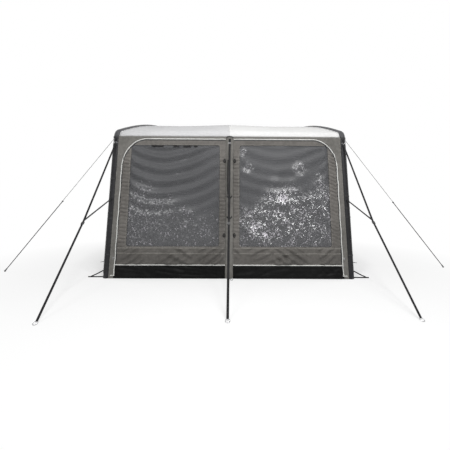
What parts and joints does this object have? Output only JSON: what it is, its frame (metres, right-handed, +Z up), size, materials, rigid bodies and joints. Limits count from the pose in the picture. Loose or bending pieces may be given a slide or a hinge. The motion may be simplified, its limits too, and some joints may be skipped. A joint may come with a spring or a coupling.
{
  "type": "caravan awning",
  "caption": "Inflatable porch awning for the side of a caravan: air beams, fabric walls, clear zip-out front panels, side doors, storm straps and guylines.",
  "frame": {"origin": "on the ground, in the middle of the awning's footprint without its storm straps and guylines", "axes": "+X to the right seen from the front, +Y towards the caravan, +Z up"},
  "size_m": [6.354, 3.7462, 2.4955],
  "materials": {
    "sleeve_black": "woven polyester, matt",
    "bladder_clear": "polyurethane film",
    "valve_black": "satin",
    "roof_grey": "coated polyester, matt",
    "bead_white": "satin",
    "wall_taupe": "coated polyester, fine weave",
    "window_clear": "clear PVC film, glossy",
    "band_black": "PVC coated",
    "piping_pale": "binding tape",
    "blind_grey": "light cloth",
    "pad_grey": "cloth over foam",
    "strap_black": "webbing",
    "buckle_black": "moulded",
    "ring_steel": "zinc plated",
    "line_black": "braided cord",
    "zip_metal": "plated"
  },
  "bodies": {
    "awning": {"beam_sleeve_left": "sleeve_black", "beam_sleeve_centre": "sleeve_black", "beam_sleeve_right": "sleeve_black", "air_bladder_left": "bladder_clear", "air_bladder_centre": "bladder_clear", "air_bladder_right": "bladder_clear", "roof_canopy": "roof_grey", "keder_bead": "bead_white", "front_surround": "wall_taupe", "side_wall_left": "wall_taupe", "side_wall_right": "wall_taupe", "side_mud_band_left": "band_black", "side_mud_band_right": "band_black", "rear_pad_left": "pad_grey", "rear_pad_right": "pad_grey", "storm_strap_left": "strap_black", "storm_strap_centre": "strap_black", "storm_strap_right": "strap_black", "brace_strap_left": "strap_black", "brace_strap_centre": "strap_black", "brace_strap_right": "strap_black", "corner_peg_strap_left": "strap_black", "corner_peg_strap_right": "strap_black", "centre_peg_strap": "strap_black", "line_hook_left": "buckle_black", "line_hook_right": "buckle_black", "d_ring_left": "ring_steel", "d_ring_centre": "ring_steel", "d_ring_right": "ring_steel", "guyline_left": "line_black", "guyline_right": "line_black"},
    "front_leaf_left": {"front_panel_left": "wall_taupe", "front_window_left": "window_clear", "piping_left": "piping_pale", "front_mud_band_left": "band_black", "window_blind_left": "blind_grey"},
    "front_leaf_right": {"front_panel_right": "wall_taupe", "front_window_right": "window_clear", "piping_right": "piping_pale", "front_mud_band_right": "band_black", "window_blind_right": "blind_grey"},
    "side_leaf_left": {"side_door_left": "wall_taupe", "door_window_left": "window_clear"},
    "side_leaf_right": {"side_door_right": "wall_taupe", "door_window_right": "window_clear"},
    "zip_pull_left": {"zip_slider_left": "zip_metal"},
    "zip_pull_right": {"zip_slider_right": "zip_metal"},
    "cap_left": {"valve_cap_left": "valve_black"},
    "cap_centre": {"valve_cap_centre": "valve_black"},
    "cap_right": {"valve_cap_right": "valve_black"},
    "ring_left": {"ground_ring_left": "ring_steel"},
    "ring_centre": {"ground_ring_centre": "ring_steel"},
    "ring_right": {"ground_ring_right": "ring_steel"},
    "buckle_left": {"storm_buckle_left": "buckle_black"},
    "buckle_centre": {"storm_buckle_centre": "buckle_black"},
    "buckle_right": {"storm_buckle_right": "buckle_black"},
    "runner_left": {"line_runner_left": "buckle_black"},
    "runner_right": {"line_runner_right": "buckle_black"}
  },
  "joints": [
    {"name": "front_panel_hinge_left", "type": "hinge", "parent": "awning", "child": "front_leaf_left", "pos_m": [-0.05, -1.25763, 0.0002], "axis": [0, 0.1, 0.995], "range_deg": [0, 85]},
    {"name": "front_panel_hinge_right", "type": "hinge", "parent": "awning", "child": "front_leaf_right", "pos_m": [0.05, -1.25763, 0.0002], "axis": [0, -0.1, -0.995], "range_deg": [0, 85]},
    {"name": "side_door_hinge_left", "type": "hinge", "parent": "awning", "child": "side_leaf_left", "pos_m": [-1.606, 0.51502, 0.00003], "axis": [-0.0285, 0, -0.9996], "range_deg": [0, 110]},
    {"name": "side_door_hinge_right", "type": "hinge", "parent": "awning", "child": "side_leaf_right", "pos_m": [1.606, 0.51502, 0.00003], "axis": [-0.0285, 0, 0.9996], "range_deg": [0, 110]},
    {"name": "zip_run_left", "type": "slide", "parent": "awning", "child": "zip_pull_left", "axis": [0.0276, 0.1, 0.9946], "range_m": [0, 1.15]},
    {"name": "zip_run_right", "type": "slide", "parent": "awning", "child": "zip_pull_right", "axis": [-0.0276, 0.1, 0.9946], "range_m": [0, 1.15]},
    {"name": "cap_turn_left", "type": "hinge", "parent": "awning", "child": "cap_left", "pos_m": [-1.59588, -1.17282, 0.32], "axis": [0.9996, -0.0028, -0.0282], "continuous": true},
    {"name": "cap_turn_centre", "type": "hinge", "parent": "awning", "child": "cap_centre", "pos_m": [0, -1.17282, 0.32], "axis": [0, 0.995, -0.1], "continuous": true},
    {"name": "cap_turn_right", "type": "hinge", "parent": "awning", "child": "cap_right", "pos_m": [1.59588, -1.17282, 0.32], "axis": [-0.9996, -0.0028, -0.0282], "continuous": true},
    {"name": "ring_swing_left", "type": "hinge", "parent": "awning", "child": "ring_left", "pos_m": [-1.67881, -2.45135, 0.01723], "axis": [-0.9962, 0.0866, 0], "range_deg": [0, 90]},
    {"name": "ring_swing_centre", "type": "hinge", "parent": "awning", "child": "ring_centre", "pos_m": [0, -2.4013, 0.01723], "axis": [-1, 0, 0], "range_deg": [0, 90]},
    {"name": "ring_swing_right", "type": "hinge", "parent": "awning", "child": "ring_right", "pos_m": [1.76777, -2.37149, 0.01723], "axis": [-0.9866, -0.1632, 0], "range_deg": [0, 90]},
    {"name": "buckle_slide_left", "type": "slide", "parent": "awning", "child": "buckle_left", "axis": [-0.0559, -0.6433, -0.7635], "range_m": [0, 0.25]},
    {"name": "buckle_slide_centre", "type": "slide", "parent": "awning", "child": "buckle_centre", "axis": [0, -0.6387, -0.7695], "range_m": [0, 0.25]},
    {"name": "buckle_slide_right", "type": "slide", "parent": "awning", "child": "buckle_right", "axis": [0.1057, -0.6389, -0.762], "range_m": [0, 0.25]},
    {"name": "runner_slide_left", "type": "slide", "parent": "awning", "child": "runner_left", "axis": [0.6351, -0.0082, 0.7724], "range_m": [-0.5, 0.5]},
    {"name": "runner_slide_right", "type": "slide", "parent": "awning", "child": "runner_right", "axis": [-0.6522, -0.1174, 0.7489], "range_m": [-0.5, 0.5]}
  ]
}
